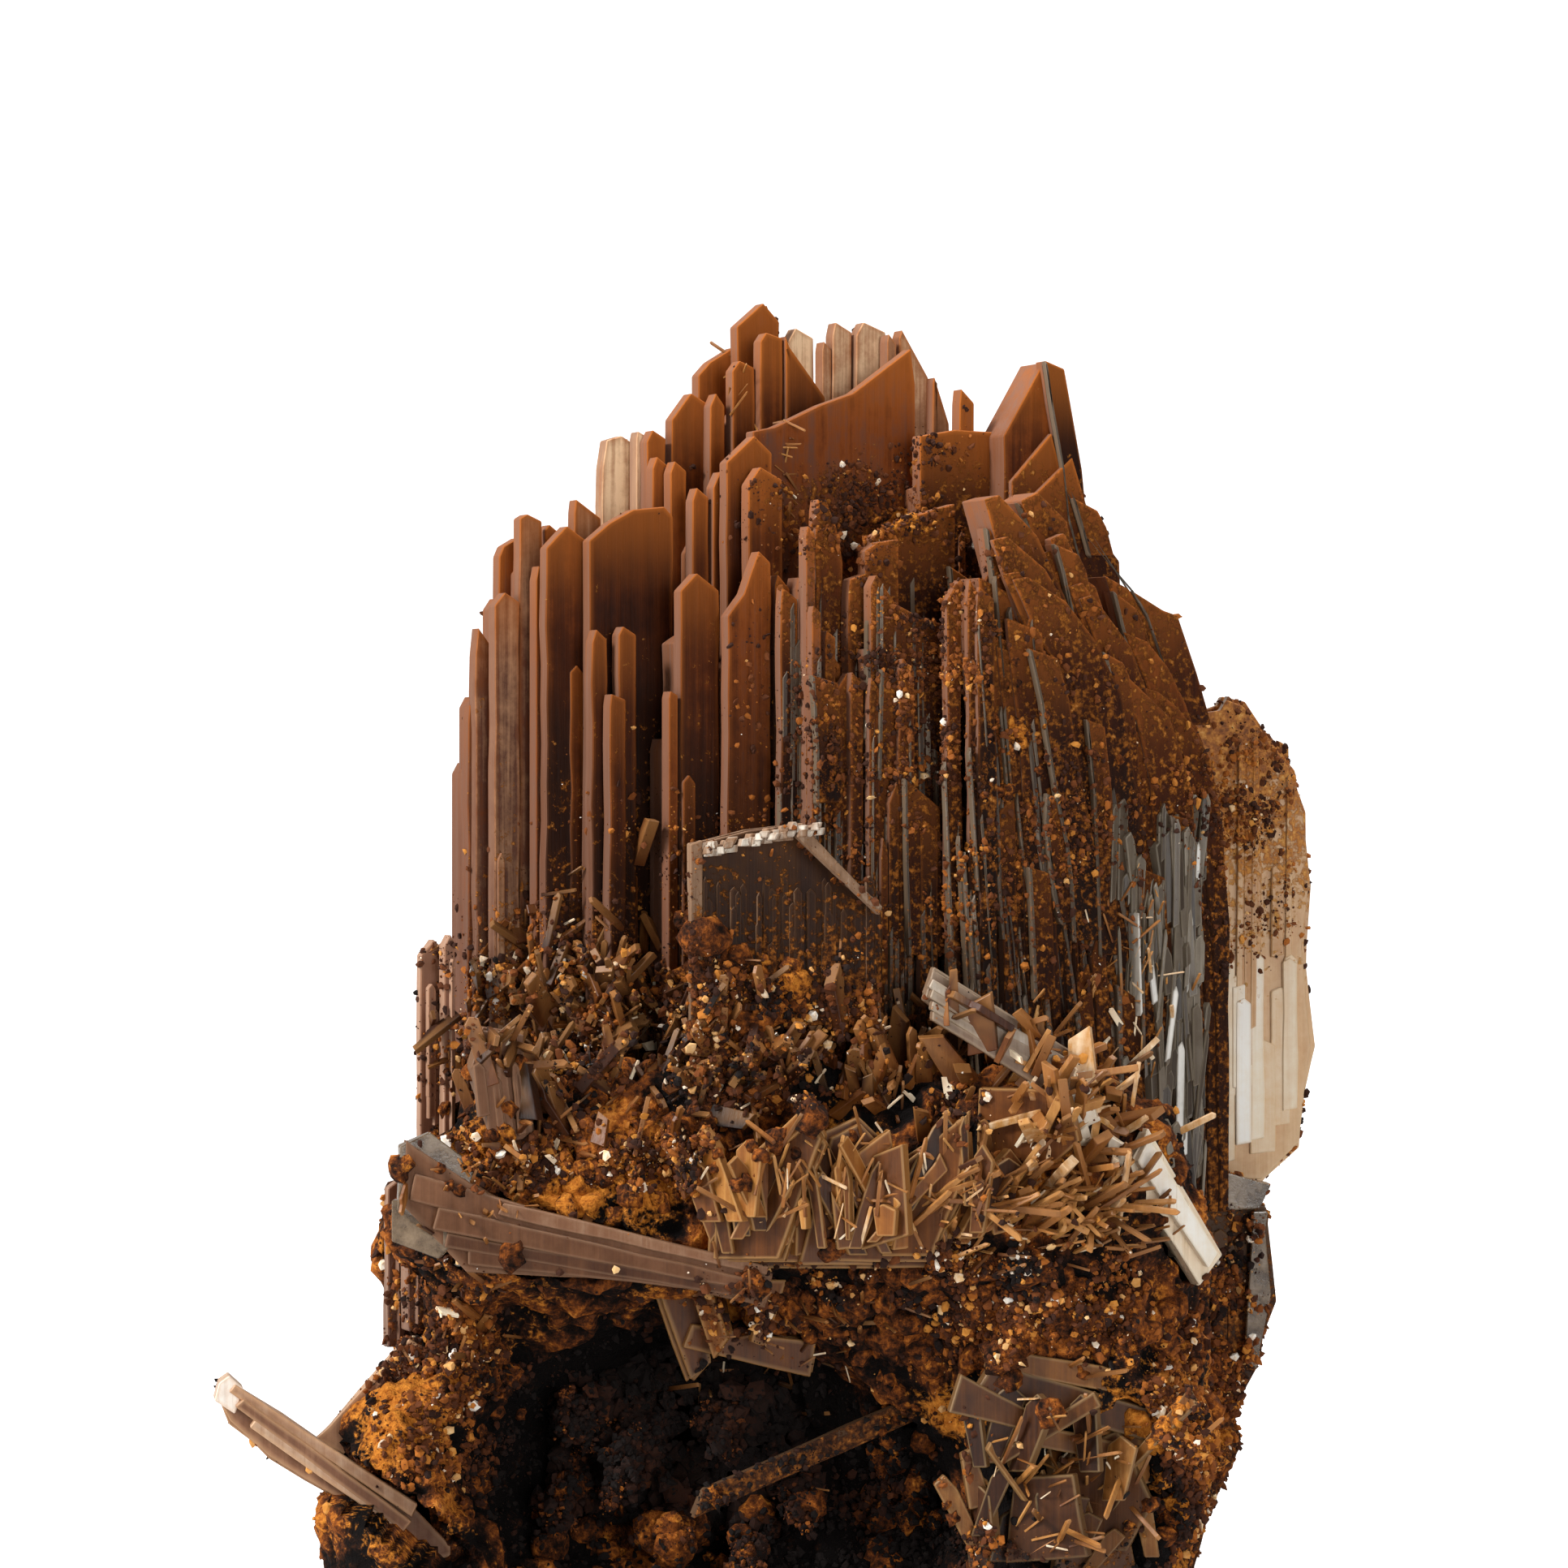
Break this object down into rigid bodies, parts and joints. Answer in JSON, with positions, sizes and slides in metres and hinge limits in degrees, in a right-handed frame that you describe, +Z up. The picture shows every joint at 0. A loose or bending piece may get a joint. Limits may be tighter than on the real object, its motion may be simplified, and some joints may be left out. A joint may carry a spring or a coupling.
{
  "type": "barite crystal cluster",
  "caption": "Tall sheaf of thin brown barite blades on porous brown limonite with a deep hollow, side slabs and a long crystal spar.",
  "frame": {"origin": "centre of the bounding box at the flat cut underneath", "axes": "+Z up along the blades, -Y towards the viewer of the picture, +X to the picture's right"},
  "size_m": [0.0732, 0.0475, 0.0903],
  "materials": {
    "brown_barite": "satin red-brown tabular barite, lighter orange at the thin edges",
    "dark_barite": "striated dark brown barite with a pale crystalline rim",
    "stained_pale_barite": "pale translucent barite stained with ochre",
    "crusted_barite": "dark barite under a crumbly limonite crust, with a clear grey edge",
    "pink_barite": "satin pinkish brown barite blades",
    "grey_barite": "glassy taupe barite, clear grey at the ends",
    "glassy_barite": "glassy brown barite",
    "cream_barite": "bright cream barite, glassy",
    "tan_barite": "tan translucent barite blades with sparkling edges",
    "orange_limonite": "bright orange earthy limonite crust",
    "brown_limonite": "dull porous brown limonite with ochre and black patches"
  },
  "bodies": {
    "root": {"blade_sheaf": "brown_barite", "striated_block": "dark_barite", "pale_slab": "stained_pale_barite", "dark_slab": "crusted_barite", "twin_blades": "pink_barite", "left_blades": "pink_barite", "shelf_crystal": "grey_barite", "glassy_slab": "glassy_barite", "cream_crystal": "cream_barite", "ledge_blades": "tan_barite", "pale_stump": "cream_barite", "hanging_blades": "tan_barite", "hollow_spar": "crusted_barite", "left_spar": "tan_barite", "hollow_plates": "grey_barite", "hollow_crust": "orange_limonite", "limonite_matrix": "brown_limonite"}
  },
  "joints": []
}
